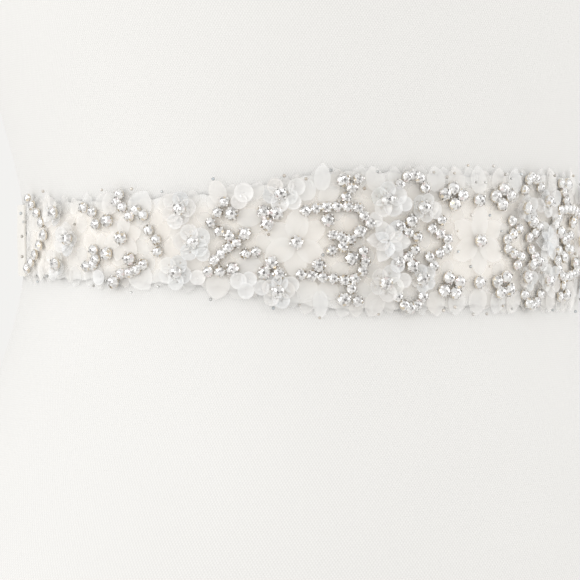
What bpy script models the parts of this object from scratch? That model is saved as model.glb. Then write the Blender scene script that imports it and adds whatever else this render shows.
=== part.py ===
"""Bridal sash worn on a limbless dress form, at real size.

Metres, +Z up. The form stands on the XY plane with its axis on Z and its chest towards -Y.
A place on the sash is written (u, v): u runs round the waist from the centre front,
positive towards +X, and v runs up from the waistline. Charts of the beadwork are in
millimetres, because that is how a beader would draw them.
"""

import math
from collections import namedtuple

import bmesh
import bpy
import numpy as np
from mathutils import Vector
from mathutils.geometry import delaunay_2d_cdt

MM = 0.001

# Dress form: a size 6 torso, 62 cm round the waist, 89 cm round the hips.
WAIST_Z = 0.285
FORM_TOP = 0.700
FORM_SEGMENTS = 56
Section = namedtuple("Section", "z half_width front back")
FORM_SECTIONS = (
    Section(0.000, 0.157, 0.100, 0.112),
    Section(0.050, 0.167, 0.106, 0.119),
    Section(0.100, 0.167, 0.109, 0.121),
    Section(0.150, 0.157, 0.110, 0.117),
    Section(0.200, 0.134, 0.105, 0.108),
    Section(0.240, 0.1145, 0.0975, 0.0995),
    Section(0.285, 0.1050, 0.0920, 0.0920),
    Section(0.330, 0.1140, 0.0980, 0.0995),
    Section(0.380, 0.130, 0.106, 0.108),
    Section(0.430, 0.142, 0.110, 0.112),
    Section(0.480, 0.150, 0.108, 0.113),
    Section(0.530, 0.163, 0.098, 0.108),
    Section(0.565, 0.173, 0.086, 0.098),
    Section(0.590, 0.168, 0.074, 0.084),
    Section(0.612, 0.136, 0.064, 0.072),
    Section(0.632, 0.092, 0.056, 0.061),
    Section(0.655, 0.063, 0.053, 0.055),
    Section(0.700, 0.056, 0.053, 0.053),
)
LEVEL_RUNS = ((0.008, 0.236, 11), (0.245, 0.325, 9), (0.338, 0.560, 10), (0.572, 0.692, 10))
EDGE_ROUND = 0.004
BUST_Z = 0.455
BUST_OUT = 0.024
BUST_HALF_WIDTH = 0.112
BUST_SPREAD_Z = 0.052
BUST_HOLLOW = 0.14
BUST_HOLLOW_WIDTH = 0.036

# Neck cap: a plain disc that closes the neck.
CAP_OVERHANG = 0.0015
CAP_THICKNESS = 0.010
CAP_BEVEL = 0.0025

# Cloth
SEAM_GAP = 0.0003
SKIN_GAP = 0.0005
PANEL_WALL = 0.0012
RIBBON_WALL = 0.0010

# Beaded panel, in millimetres.
PANEL_HALF_LENGTH = 186.0
OUTLINE_STEP = 2.4
EDGE_CLEAR = 0.9
POINT_CLEAR = 0.7
GROUND_CLEAR = 2.6
GRID_STEP = 5.5
INNER_STEP = 12.0
STONE_RADIUS = 2.0
CHAIN_RADIUS = 1.6
STONE_RISE = 2.9
PETAL_RISE = 1.8
LEAF_RISE = 1.3

HalfHeight = namedtuple("HalfHeight", "u half")
HALF_HEIGHTS = (
    HalfHeight(-186, 12.0),
    HalfHeight(-165, 13.0),
    HalfHeight(-135, 13.5),
    HalfHeight(-105, 14.5),
    HalfHeight(-88, 16.0),
    HalfHeight(-72, 19.0),
    HalfHeight(-56, 22.0),
    HalfHeight(-30, 22.5),
    HalfHeight(0, 22.0),
)

# The beadwork chart covers the wearer's right half, u below 0, and is mirrored.
Flower = namedtuple("Flower", "u v radius petals turn stone")
FLOWERS = (
    Flower(0.0, 0.0, 12.0, 6, 30, True),
    Flower(-35.0, 0.0, 7.8, 6, 0, False),
    Flower(-35.5, 13.5, 6.3, 5, 20, True),
    Flower(-36.0, -13.8, 6.3, 5, 60, True),
    Flower(-22.5, 11.0, 5.0, 5, 0, True),
    Flower(-22.8, -12.5, 5.0, 5, 40, True),
    Flower(-65.5, -0.5, 11.5, 6, 30, True),
    Flower(-70.7, 15.2, 5.8, 5, 50, True),
    Flower(-71.5, -16.5, 5.8, 5, 10, True),
    Flower(-82.5, 14.5, 4.2, 4, 0, False),
    Flower(-83.0, -13.7, 4.2, 3, 30, False),
    Flower(-104.0, 10.5, 6.0, 5, 0, True),
    Flower(-99.5, -0.5, 6.3, 5, 30, True),
    Flower(-105.5, -10.2, 6.0, 5, 60, True),
    Flower(-125.5, 1.0, 8.0, 6, 15, True),
    Flower(-157.0, 9.6, 5.6, 5, 20, True),
    Flower(-149.5, 0.6, 5.8, 5, 0, True),
    Flower(-156.0, -7.8, 5.6, 5, 50, True),
)
Leaf = namedtuple("Leaf", "u v length width angle")
LEAVES = (
    Leaf(0.0, 20.5, 9.5, 7.0, 90),
    Leaf(0.0, -20.5, 9.0, 8.0, -90),
    Leaf(-9.5, 20.5, 8.5, 7.0, 100),
    Leaf(-9.0, -20.8, 8.0, 7.0, -80),
    Leaf(-17.5, 20.5, 8.5, 7.0, 100),
    Leaf(-17.0, -20.8, 8.5, 7.0, -75),
    Leaf(-39.5, 20.2, 8.5, 6.5, 105),
    Leaf(-39.5, -20.8, 8.5, 7.0, -105),
    Leaf(-54.5, 15.5, 8.5, 6.0, 40),
    Leaf(-57.0, 20.8, 9.0, 5.5, 85),
    Leaf(-62.5, 17.0, 8.0, 6.5, 100),
    Leaf(-57.5, -20.8, 9.0, 5.0, -85),
    Leaf(-54.5, -16.2, 8.0, 6.0, -30),
    Leaf(-62.0, -16.5, 8.0, 7.0, -110),
    Leaf(-80.5, 7.5, 9.0, 6.0, 5),
    Leaf(-80.8, -7.8, 9.0, 6.0, -5),
    Leaf(-91.5, 16.2, 8.0, 6.0, 110),
    Leaf(-91.5, -15.0, 8.5, 8.0, -100),
    Leaf(-118.5, 12.0, 9.5, 9.0, 60),
    Leaf(-118.5, -12.0, 9.5, 9.0, -60),
    Leaf(-131.0, 12.5, 8.0, 6.5, 110),
    Leaf(-136.0, -11.0, 7.0, 4.5, -70),
    Leaf(-163.5, 12.5, 8.0, 5.5, 100),
    Leaf(-168.0, -10.0, 8.0, 5.5, -110),
)
Chain = namedtuple("Chain", "u0 v0 u1 v1 bulge stones")
CHAINS = (
    Chain(-31.0, 18.3, -21.8, 17.3, 4.0, 5),
    Chain(-31.5, -18.3, -22.3, -18.3, -3.8, 5),
    Chain(-30.5, 4.8, -24.5, 1.2, -0.5, 3),
    Chain(-25.5, -3.0, -30.8, -7.0, 0.3, 3),
    Chain(-19.0, 4.0, -15.5, 6.8, 0.0, 2),
    Chain(-16.0, 2.3, -13.0, 0.6, 0.0, 2),
    Chain(-20.0, -5.3, -18.3, -8.3, 0.0, 2),
    Chain(-16.2, -4.2, -13.3, -2.7, 0.0, 2),
    Chain(-62.5, 9.6, -45.3, 10.6, 1.0, 6),
    Chain(-43.2, 8.0, -41.2, 5.6, 0.0, 2),
    Chain(-49.3, 14.2, -45.3, 20.0, 0.0, 3),
    Chain(-43.5, -3.3, -46.3, -12.3, 2.0, 4),
    Chain(-64.0, -10.8, -49.8, -12.8, 0.0, 5),
    Chain(-47.5, -15.6, -45.3, -19.6, 0.0, 2),
    Chain(-53.7, 1.9, -47.7, 0.4, 0.0, 3),
    Chain(-54.0, -3.2, -50.3, -2.1, 0.0, 2),
    Chain(-89.0, 12.5, -93.6, 5.8, 0.0, 3),
    Chain(-90.8, 3.0, -85.0, -0.8, 0.6, 3),
    Chain(-87.8, -2.2, -92.5, -6.4, 0.0, 3),
    Chain(-94.5, -10.0, -90.5, -10.0, 0.0, 2),
    Chain(-82.0, -4.3, -78.7, -3.6, 0.0, 2),
    Chain(-115.3, 3.4, -112.0, -3.6, 1.2, 3),
    Chain(-126.5, 15.3, -125.3, 11.0, -1.6, 3),
    Chain(-122.5, 8.0, -117.2, 8.3, 2.0, 3),
    Chain(-142.0, 11.0, -136.5, 5.5, 1.8, 3),
    Chain(-137.5, -3.0, -141.0, -8.5, 2.6, 4),
    Chain(-126.0, -10.8, -117.4, -7.6, -1.0, 4),
    Chain(-179.0, 12.0, -180.0, -9.5, 13.5, 8),
)
Stone = namedtuple("Stone", "u v")
STONES = (
    Stone(0.0, 13.6),
    Stone(0.0, -13.9),
    Stone(-14.2, 15.4),
    Stone(-11.0, 17.4),
    Stone(-7.3, 15.0),
    Stone(-10.4, 12.2),
    Stone(-12.6, -12.2),
    Stone(-8.2, -13.7),
    Stone(-14.4, -16.5),
    Stone(-9.9, -17.4),
    Stone(-26.6, 6.6),
    Stone(-26.4, -8.2),
    Stone(-50.2, 19.6),
    Stone(-44.8, 3.0),
    Stone(-47.5, -5.7),
    Stone(-50.0, -19.0),
    Stone(-55.3, 6.6),
    Stone(-58.3, -8.0),
    Stone(-76.2, 9.4),
    Stone(-71.8, 9.0),
    Stone(-75.0, 5.4),
    Stone(-73.5, -7.0),
    Stone(-76.0, -10.4),
    Stone(-71.2, -10.8),
    Stone(-86.6, 8.8),
    Stone(-82.3, 2.3),
    Stone(-86.2, -9.2),
    Stone(-131.5, 6.6),
    Stone(-131.7, -4.2),
    Stone(-122.6, -5.9),
    Stone(-129.2, -13.6),
)

# Satin ribbon, 25 mm wide, stitched to both ends of the panel and tied at the centre back.
RIBBON_HALF = 0.0125
RIBBON_PINCHED = 0.0085
RIBBON_PLEATS = 2
PLEAT_RISE = 0.0011
KNOT_HALF_WIDTH = 0.0100
KNOT_HALF_HEIGHT = 0.0115
KNOT_HALF_DEPTH = 0.0080
KNOT_RINGS = 12
LOOP_REACH = 0.042
LOOP_OPEN = 0.0085
LOOP_DROOP = 0.50
LOOP_ROOT_HALF = 0.0062
LOOP_ROOT_REACH = 0.0155
LOOP_END_REACH = 0.0400
TAIL_ROOT_HALF = 0.0050
TAIL_ROOT_OUT = 0.0072
TAIL_END_Z = 0.040
TAIL_SPREAD = 0.036
TAIL_CUT = 0.012
TAIL_LIFT = 0.0011
TAIL_WAVE = 0.0042

WHITE_JERSEY = (0.86, 0.85, 0.83)
CAP_WHITE = (0.80, 0.79, 0.77)
IVORY_BEADWORK = (0.78, 0.75, 0.71)
IVORY_SATIN = (0.87, 0.84, 0.79)


def spline(knots, values):
    """A natural cubic spline through the values at the knots, as a function."""
    x = np.array(knots, float)
    y = np.array(values, float)
    gap = np.diff(x)
    count = len(x)
    system = np.eye(count)
    right = np.zeros(count)
    for i in range(1, count - 1):
        system[i, i - 1 : i + 2] = (gap[i - 1], 2 * (gap[i - 1] + gap[i]), gap[i])
        right[i] = 6 * ((y[i + 1] - y[i]) / gap[i] - (y[i] - y[i - 1]) / gap[i - 1])
    bend = np.linalg.solve(system, right)

    def value(at):
        i = int(np.clip(np.searchsorted(x, at) - 1, 0, count - 2))
        a = (x[i + 1] - at) / gap[i]
        b = (at - x[i]) / gap[i]
        curved = ((a**3 - a) * bend[i] + (b**3 - b) * bend[i + 1]) * gap[i] ** 2 / 6
        return float(a * y[i] + b * y[i + 1] + curved)

    return value


section_heights = [s.z for s in FORM_SECTIONS]
form_half_width = spline(section_heights, [s.half_width for s in FORM_SECTIONS])
form_front = spline(section_heights, [s.front for s in FORM_SECTIONS])
form_back = spline(section_heights, [s.back for s in FORM_SECTIONS])


def form_point(turn, z, out=0.0):
    """A point on the form: turn is the angle from the chest, and out the distance off it."""
    wide = form_half_width(z)
    deep = form_front(z) if math.cos(turn) > 0 else form_back(z)
    x = wide * math.sin(turn)
    y = -deep * math.cos(turn)
    if math.cos(turn) > 0:
        across = math.exp(-((x / BUST_HALF_WIDTH) ** 4))
        hollow = 1 - BUST_HOLLOW * math.exp(-((x / BUST_HOLLOW_WIDTH) ** 2))
        along = math.exp(-(((z - BUST_Z) / BUST_SPREAD_Z) ** 2))
        y -= BUST_OUT * across * hollow * along * math.cos(turn) ** 0.5
    normal = Vector((math.sin(turn) / wide, -math.cos(turn) / deep, 0.0)).normalized()
    return Vector((x, y, z)) + normal * out


def waist_turns():
    """Arc length round the waist from the centre front, against the turn angle."""
    turns = np.linspace(-math.pi, math.pi, 1441)
    points = [form_point(t, WAIST_Z, SKIN_GAP + 0.0035) for t in turns]
    steps = [(b - a).length for a, b in zip(points, points[1:])]
    length = np.concatenate([[0.0], np.cumsum(steps)])
    return turns, length - length[len(length) // 2]


TURNS, ARCS = waist_turns()
HALF_ROUND = float(ARCS[-1])


def turn_at(u):
    """The turn angle at u, which may run past the centre back."""
    wrapped = (u + HALF_ROUND) % (2 * HALF_ROUND) - HALF_ROUND
    return float(np.interp(wrapped, ARCS, TURNS))


def band_point(u, v, out, reach):
    """A point over the waist, on straight lines between the form's skin at -reach and +reach.

    Cloth spans the hollow of the waist like this, and touches the form at its two edges.
    """
    turn = turn_at(u)
    low = form_point(turn, WAIST_Z - reach, SKIN_GAP + out)
    high = form_point(turn, WAIST_Z + reach, SKIN_GAP + out)
    return low.lerp(high, (v + reach) / (2 * reach))


def material(name, colour, roughness, metallic=0.0):
    made = bpy.data.materials.new(name)
    made.use_nodes = True
    shader = made.node_tree.nodes["Principled BSDF"]
    shader.inputs["Base Color"].default_value = (*colour, 1.0)
    shader.inputs["Roughness"].default_value = roughness
    shader.inputs["Metallic"].default_value = metallic
    return made


def add_object(name, points, faces, finish, crease_degrees=40):
    mesh = bpy.data.meshes.new(name)
    mesh.from_pydata([tuple(p) for p in points], [], faces)
    shape = bmesh.new()
    shape.from_mesh(mesh)
    bmesh.ops.recalc_face_normals(shape, faces=shape.faces)
    if shape.calc_volume(signed=True) < 0:
        bmesh.ops.reverse_faces(shape, faces=shape.faces)
    shape.to_mesh(mesh)
    shape.free()
    mesh.shade_smooth()
    mesh.set_sharp_from_angle(angle=math.radians(crease_degrees))
    mesh.materials.append(finish)
    made = bpy.data.objects.new(name, mesh)
    bpy.context.scene.collection.objects.link(made)
    return made


def ring_faces(rings, size):
    """Quads between rings of points, with an end face on the first and the last ring."""
    faces = [tuple(range(size)), tuple(range((rings - 1) * size, rings * size))]
    for ring in range(rings - 1):
        for i in range(size):
            j = (i + 1) % size
            low = ring * size
            faces.append((low + i, low + j, low + size + j, low + size + i))
    return faces


def strip(name, sections, finish):
    """A solid from sections, each a closed ring of points round one cut of the cloth."""
    points = [p for section in sections for p in section]
    return add_object(name, points, ring_faces(len(sections), len(sections[0])), finish)


# Dress form


def build_form(finish):
    levels = [0.0]
    for start, stop, count in LEVEL_RUNS:
        levels += list(np.linspace(start, stop, count))
    levels.append(FORM_TOP)
    turns = [2 * math.pi * i / FORM_SEGMENTS for i in range(FORM_SEGMENTS)]
    rings = []
    for z in levels:
        inset = EDGE_ROUND if z in (0.0, FORM_TOP) else 0.0
        rings.append([form_point(t, z, -inset) for t in turns])
    return strip("form_torso", rings, finish)


def build_neck_cap(finish):
    """A disc with a rounded rim, following the neck's outline."""
    low = FORM_TOP + SEAM_GAP
    high = low + CAP_THICKNESS
    profile = (
        (low, CAP_OVERHANG - CAP_BEVEL),
        (low + CAP_BEVEL, CAP_OVERHANG),
        (high - CAP_BEVEL, CAP_OVERHANG),
        (high - 0.3 * CAP_BEVEL, CAP_OVERHANG - 0.3 * CAP_BEVEL),
        (high, CAP_OVERHANG - CAP_BEVEL),
    )
    turns = [2 * math.pi * i / FORM_SEGMENTS for i in range(FORM_SEGMENTS)]
    rings = []
    for z, out in profile:
        rim = [form_point(t, FORM_TOP, out) for t in turns]
        rings.append([Vector((p.x, p.y, z)) for p in rim])
    return strip("form_neck_cap", rings, finish)


# Beaded panel: a wall whose outer points carry the flowers, leaves and stones


def mirrored(rows):
    """The charted rows and their mirror images on the wearer's left."""
    both = list(rows)
    for row in rows:
        if isinstance(row, Chain):
            both.append(row._replace(u0=-row.u0, u1=-row.u1, bulge=-row.bulge))
        elif row.u != 0.0:
            flipped = row._replace(u=-row.u)
            if isinstance(row, Leaf):
                flipped = flipped._replace(angle=180 - row.angle)
            if isinstance(row, Flower):
                flipped = flipped._replace(turn=180 - row.turn)
            both.append(flipped)
    return both


def chain_places(chain):
    """The stones of one chain, evenly along an arc that bulges to its left."""
    start = Vector((chain.u0, chain.v0))
    end = Vector((chain.u1, chain.v1))
    along = end - start
    sideways = Vector((-along.y, along.x)).normalized()
    places = []
    for i in range(chain.stones):
        share = i / (chain.stones - 1)
        lift = chain.bulge * 4 * share * (1 - share)
        places.append(start + along * share + sideways * lift)
    return places


ALL_FLOWERS = mirrored(FLOWERS)
ALL_LEAVES = mirrored(LEAVES)
ALL_BEADS = [(s.u, s.v, STONE_RADIUS) for s in mirrored(STONES)]
ALL_BEADS += [(f.u, f.v, STONE_RADIUS) for f in ALL_FLOWERS if f.stone]
for one_chain in mirrored(CHAINS):
    ALL_BEADS += [(p.x, p.y, CHAIN_RADIUS) for p in chain_places(one_chain)]

base_half = spline(
    [h.u for h in HALF_HEIGHTS] + [-h.u for h in reversed(HALF_HEIGHTS[:-1])],
    [h.half for h in HALF_HEIGHTS] + [h.half for h in reversed(HALF_HEIGHTS[:-1])],
)


def panel_reach(u):
    """Half height of the straight span that carries the panel, a little over its outline."""
    return (base_half(max(-PANEL_HALF_LENGTH, min(PANEL_HALF_LENGTH, u))) + 3.5) * MM


def petal_reach(flower, angle):
    """How far the flower's edge stands from its centre in a direction, in millimetres."""
    lobe = abs(math.cos(flower.petals * (angle - math.radians(flower.turn)) / 2))
    return flower.radius * (0.62 + 0.38 * math.sqrt(lobe))


def leaf_share(leaf, u, v):
    """0 at the middle of the leaf, 1 on its edge, more outside."""
    angle = math.radians(leaf.angle)
    along = (u - leaf.u) * math.cos(angle) + (v - leaf.v) * math.sin(angle)
    across = -(u - leaf.u) * math.sin(angle) + (v - leaf.v) * math.cos(angle)
    return math.hypot(2 * along / leaf.length, 2 * across / leaf.width)


def relief(u, v):
    """Height of the beadwork over the backing, in millimetres."""
    rise = 0.0
    for leaf in ALL_LEAVES:
        if abs(leaf.u - u) < leaf.length:
            rise = max(rise, LEAF_RISE * (1 - leaf_share(leaf, u, v) ** 2))
    for flower in ALL_FLOWERS:
        away = math.hypot(u - flower.u, v - flower.v)
        if away <= flower.radius:
            share = away / petal_reach(flower, math.atan2(v - flower.v, u - flower.u))
            if share < 1:
                rise = max(rise, PETAL_RISE * (0.55 + 0.45 * share))
    for bead_u, bead_v, radius in ALL_BEADS:
        away = math.hypot(u - bead_u, v - bead_v)
        if away < radius:
            rise = max(rise, STONE_RISE * (1 - 0.55 * away / radius))
    return rise


def outline_half(u, side):
    """Half height of the panel at u, with its edge carried round the motifs that cross it."""
    edge = base_half(u)
    for flower in ALL_FLOWERS:
        across = flower.radius**2 - (u - flower.u) ** 2
        if across > 0:
            edge = max(edge, side * flower.v + math.sqrt(across))
    for leaf in ALL_LEAVES:
        radius = (leaf.length + leaf.width) / 4
        across = radius**2 - (u - leaf.u) ** 2
        if across > 0:
            edge = max(edge, side * leaf.v + math.sqrt(across))
    return min(edge, base_half(u) + 3.3)


def panel_outline():
    """The panel's edge as a loop of (u, v), anticlockwise from the lower left."""
    count = int(round(2 * PANEL_HALF_LENGTH / OUTLINE_STEP))
    places = [-PANEL_HALF_LENGTH + 2 * PANEL_HALF_LENGTH * i / count for i in range(count + 1)]
    lower = [(u, -outline_half(u, -1)) for u in places]
    upper = [(u, outline_half(u, 1)) for u in reversed(places)]
    right = [(PANEL_HALF_LENGTH, v) for v in np.linspace(lower[-1][1], upper[0][1], 8)[1:-1]]
    left = [(-PANEL_HALF_LENGTH, v) for v in np.linspace(upper[-1][1], lower[0][1], 8)[1:-1]]
    return lower + right + upper + left


def ring_places(u, v, radius, count, turn=0.0):
    places = []
    for i in range(count):
        angle = math.radians(turn) + 2 * math.pi * i / count
        places.append((u + radius * math.cos(angle), v + radius * math.sin(angle)))
    return places


def flower_places(flower, share):
    """Two places to a petal, on its tip and in the notch beside it."""
    places = []
    for i in range(2 * flower.petals):
        angle = math.radians(flower.turn) + math.pi * i / flower.petals
        reach = share * petal_reach(flower, angle)
        places.append((flower.u + reach * math.cos(angle), flower.v + reach * math.sin(angle)))
    return places


def leaf_places(leaf):
    """Two places on the leaf's ridge and a ring of them on its edge."""
    angle = math.radians(leaf.angle)
    along = Vector((math.cos(angle), math.sin(angle)))
    across = Vector((-along.y, along.x))
    middle = Vector((leaf.u, leaf.v))
    places = [middle + along * (end * leaf.length) for end in (-0.2, 0.2)]
    for i in range(8):
        turn = 2 * math.pi * i / 8
        reach = along * (0.51 * leaf.length * math.cos(turn)) + across * (0.51 * leaf.width * math.sin(turn))
        places.append(middle + reach)
    return [(p.x, p.y) for p in places]


def relief_places():
    """Points where the beadwork's surface bends: stones first, then petals, leaves and ground."""
    close = []
    for u, v, _ in ALL_BEADS:
        close.append((u, v))
    for u, v, radius in ALL_BEADS:
        close += ring_places(u, v, 1.04 * radius, 6, turn=90)
    for flower in ALL_FLOWERS:
        if not flower.stone:
            close.append((flower.u, flower.v))
        for share in (0.93, 1.05, 0.55):
            close += flower_places(flower, share)
    for leaf in ALL_LEAVES:
        close += leaf_places(leaf)
    ground = []
    for u in np.arange(-PANEL_HALF_LENGTH + 3, PANEL_HALF_LENGTH, GRID_STEP):
        for v in np.arange(-24.0, 24.1, GRID_STEP):
            ground.append((float(u), float(v)))
    return [(place, POINT_CLEAR) for place in close] + [(place, GROUND_CLEAR) for place in ground]


def kept_places(places, outline):
    """The places well inside the outline and not crowded by an earlier one."""
    kept = []
    cells = {}
    size = GROUND_CLEAR

    def near(u, v):
        column, row = int(u // size), int(v // size)
        for i in (-1, 0, 1):
            for j in (-1, 0, 1):
                yield from cells.get((column + i, row + j), [])

    for u, v in outline:
        cells.setdefault((int(u // size), int(v // size)), []).append((u, v))
    for (u, v), clear in places:
        side = 1 if v > 0 else -1
        if abs(v) > outline_half(u, side) - EDGE_CLEAR or abs(u) > PANEL_HALF_LENGTH - EDGE_CLEAR:
            continue
        if all(math.hypot(u - a, v - b) > clear for a, b in near(u, v)):
            kept.append((u, v))
            cells.setdefault((int(u // size), int(v // size)), []).append((u, v))
    return kept


def fill(outline, places):
    """Triangles over the outline and the places inside it, as (points, faces)."""
    points = [Vector(p) for p in outline + places]
    loop = len(outline)
    edges = [(i, (i + 1) % loop) for i in range(loop)]
    made = delaunay_2d_cdt(points, edges, [], 1, 1e-6)
    source = [ids[0] for ids in made[3]]
    faces = [tuple(source[i] for i in face) for face in made[2]]
    return points, faces


def build_panel(finish):
    outline = panel_outline()
    loop = len(outline)
    outer_points, outer_faces = fill(outline, kept_places(relief_places(), outline))
    coarse = []
    for u in np.arange(-PANEL_HALF_LENGTH + INNER_STEP / 2, PANEL_HALF_LENGTH, INNER_STEP):
        coarse += [(float(u), v) for v in (-7.0, 0.0, 7.0)]
    inner_points, inner_faces = fill(outline, coarse)
    points = []
    for i, (u, v) in enumerate(outer_points):
        rise = 0.0 if i < loop else relief(u, v)
        points.append(band_point(u * MM, v * MM, PANEL_WALL + rise * MM, panel_reach(u)))
    for u, v in inner_points:
        points.append(band_point(u * MM, v * MM, 0.0, panel_reach(u)))
    shift = len(outer_points)
    faces = list(outer_faces)
    faces += [tuple(shift + i for i in reversed(face)) for face in inner_faces]
    for i in range(loop):
        j = (i + 1) % loop
        faces.append((j, i, shift + i, shift + j))
    return add_object("beaded_panel", points, faces, finish, crease_degrees=30)


# Ribbon: two back stretches, a knot, two loops and two tails


def cut_ring(across, point_at, thickness):
    """One section of ribbon: points over its width on the outer face, then back on the inner."""
    outer = [point_at(w, thickness) for w in across]
    inner = [point_at(w, 0.0) for w in reversed(across)]
    return outer + inner


def eased(share):
    share = max(0.0, min(1.0, share))
    return share * share * (3 - 2 * share)


def build_back_stretch(side, finish):
    """From the panel's end to the knot, drawn together into soft pleats at the knot."""
    start = PANEL_HALF_LENGTH * MM + SEAM_GAP
    stop = HALF_ROUND - KNOT_HALF_WIDTH - SEAM_GAP
    across = np.linspace(-1.0, 1.0, 11)
    sections = []
    for share in np.linspace(0.0, 1.0, 15):
        u = start + (stop - start) * share
        pinch = eased((share - 0.45) / 0.55)
        half = RIBBON_HALF + (RIBBON_PINCHED - RIBBON_HALF) * pinch

        def place(w, out, u=u, half=half, pinch=pinch):
            pleat = PLEAT_RISE * pinch * (0.5 - 0.5 * math.cos(2 * math.pi * RIBBON_PLEATS * (w + 1) / 2))
            reach = RIBBON_HALF + 0.003
            return band_point(side * u, w * half, out + pleat, reach)

        sections.append(cut_ring(across, place, RIBBON_WALL))
    name = "ribbon_back_left" if side > 0 else "ribbon_back_right"
    return strip(name, sections, finish)


def back_point(along, v, out, reach):
    """A point near the centre back: along is towards the wearer's left."""
    return band_point(HALF_ROUND - along, v, out, reach)


def build_knot(finish):
    """The wrapped knot: a rounded barrel whose flat back lies on the form."""
    rings = []
    for i in range(1, KNOT_RINGS):
        tilt = math.pi * i / KNOT_RINGS
        v = -KNOT_HALF_HEIGHT * math.cos(tilt)
        size = math.sin(tilt) ** 0.45
        ring = []
        for j in range(16):
            angle = 2 * math.pi * j / 16
            wide = abs(math.cos(angle)) ** 0.7 * math.copysign(1, math.cos(angle))
            deep = abs(math.sin(angle)) ** 0.7 * math.copysign(1, math.sin(angle))
            along = KNOT_HALF_WIDTH * size * wide
            out = KNOT_HALF_DEPTH * (1 + size * deep) * (0.92 + 0.08 * size)
            spot = form_point(math.pi, WAIST_Z + RIBBON_HALF + 0.003, SKIN_GAP + out)
            ring.append(Vector((-along, spot.y, WAIST_Z + v)))
        rings.append(ring)
    return strip("ribbon_knot", rings, finish)


def build_loop(side, finish):
    """One loop of the bow: the ribbon leaves the knot, turns over and comes back under itself."""
    root = KNOT_HALF_WIDTH + SEAM_GAP
    middle = 0.0105
    across = np.linspace(-1.0, 1.0, 5)
    sections = []
    for share in np.linspace(0.0, 1.0, 31):
        swing = math.pi * (1 - share)
        along = root + LOOP_REACH * (0.5 + 0.5 * math.cos(2 * swing - math.pi)) ** 0.8
        belly = math.sin(math.pi * (along - root) / LOOP_REACH / 1.25) ** 0.8
        upper = 1 if share < 0.5 else -1
        end_round = math.sqrt(max(0.0, 1 - ((along - root) / LOOP_REACH) ** 6))
        out = middle + upper * (0.0012 + LOOP_OPEN * belly * end_round * 0.95)
        if (along - root) / LOOP_REACH > 0.999:
            out = middle
        open_width = eased((along - root) / (0.45 * LOOP_REACH))
        half = LOOP_ROOT_HALF + (RIBBON_HALF - LOOP_ROOT_HALF) * open_width
        drop = -LOOP_DROOP * (along - root) * eased((along - root) / LOOP_REACH)
        sections.append((along, out, half, drop))
    centre = [(a, o) for a, o, _, _ in sections]
    rings = []
    for i, (along, out, half, drop) in enumerate(sections):
        before = centre[max(0, i - 1)]
        after = centre[min(len(centre) - 1, i + 1)]
        run = Vector((after[0] - before[0], after[1] - before[1])).normalized()
        away = Vector((-run.y, run.x))

        reach = LOOP_ROOT_REACH + (LOOP_END_REACH - LOOP_ROOT_REACH) * eased((along - root) / LOOP_REACH)

        def place(w, thick, along=along, out=out, half=half, drop=drop, away=away, reach=reach):
            cup = 0.0012 * w * w
            step = thick - RIBBON_WALL / 2 + cup
            return back_point(side * (along + away.x * step), drop + w * half, out + away.y * step, reach)

        rings.append(cut_ring(across, place, RIBBON_WALL))
    name = "bow_loop_left" if side > 0 else "bow_loop_right"
    return strip(name, rings, finish)


def hang_section(z):
    """Half width and back depth that a plumb cloth keeps once it has left the fullest part."""
    steps = np.linspace(z, WAIST_Z, 24)
    return max(form_half_width(s) for s in steps), max(form_back(s) for s in steps)


def build_tail(side, finish):
    """A tail hanging from the knot's lower end, then over the hip to its slanted end."""
    top_z = WAIST_Z - KNOT_HALF_HEIGHT * math.cos(math.pi / KNOT_RINGS) - SEAM_GAP
    root_y = form_back(WAIST_Z) + TAIL_ROOT_OUT
    across = np.linspace(-1.0, 1.0, 8)
    rings = []
    for share in np.linspace(0.0, 1.0, 23):
        rings.append([])
        spread = eased(share * 1.6)
        half = TAIL_ROOT_HALF + (RIBBON_HALF - TAIL_ROOT_HALF) * eased(share * 1.9)
        middle = side * (TAIL_ROOT_HALF + SEAM_GAP + TAIL_SPREAD * spread * share**0.5)

        def place(w, thick, share=share, half=half, middle=middle):
            slant = TAIL_CUT * side * w * eased((share - 0.85) / 0.15)
            z = top_z + (TAIL_END_Z - top_z) * share - slant
            wide, deep = hang_section(z)
            x = -(middle + w * half)
            turn = math.asin(max(-1.0, min(1.0, x / wide)))
            ripple = 0.5 - 0.5 * math.cos(math.pi * (1.5 * w + 1.7 * share))
            out = SKIN_GAP + TAIL_LIFT + TAIL_WAVE * eased(share * 1.4) * ripple
            normal = Vector((math.sin(turn) / wide, math.cos(turn) / deep, 0)).normalized()
            laid = Vector((x, deep * math.cos(turn), z)) + normal * out
            laid.y = max(laid.y, root_y)
            return laid + normal * thick

        rings[-1][:] = cut_ring(across, place, RIBBON_WALL)
    name = "bow_tail_left" if side > 0 else "bow_tail_right"
    return strip(name, rings, finish)


def clear_scene():
    for old in list(bpy.data.objects):
        bpy.data.objects.remove(old)


def main():
    clear_scene()
    jersey = material("white_jersey", WHITE_JERSEY, 0.9)
    cap = material("cap_white", CAP_WHITE, 0.45)
    beadwork = material("ivory_beadwork", IVORY_BEADWORK, 0.35)
    satin = material("ivory_satin", IVORY_SATIN, 0.4)
    build_form(jersey)
    build_neck_cap(cap)
    build_panel(beadwork)
    build_knot(satin)
    for side in (-1, 1):
        build_back_stretch(side, satin)
        build_loop(side, satin)
        build_tail(side, satin)


main()
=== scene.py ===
"""Looks for the bridal sash on its dress form.

A place on the sash is (u, v, h): u runs round the waist from the centre front, positive
towards the wearer's left, v runs up from the waistline and h stands out from the form's
skin. The panel and its beadwork are charted in millimetres, the beadwork for the wearer's
right half only, which is mirrored. All other sizes are in metres.
"""

import math
import random
from collections import namedtuple

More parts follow.
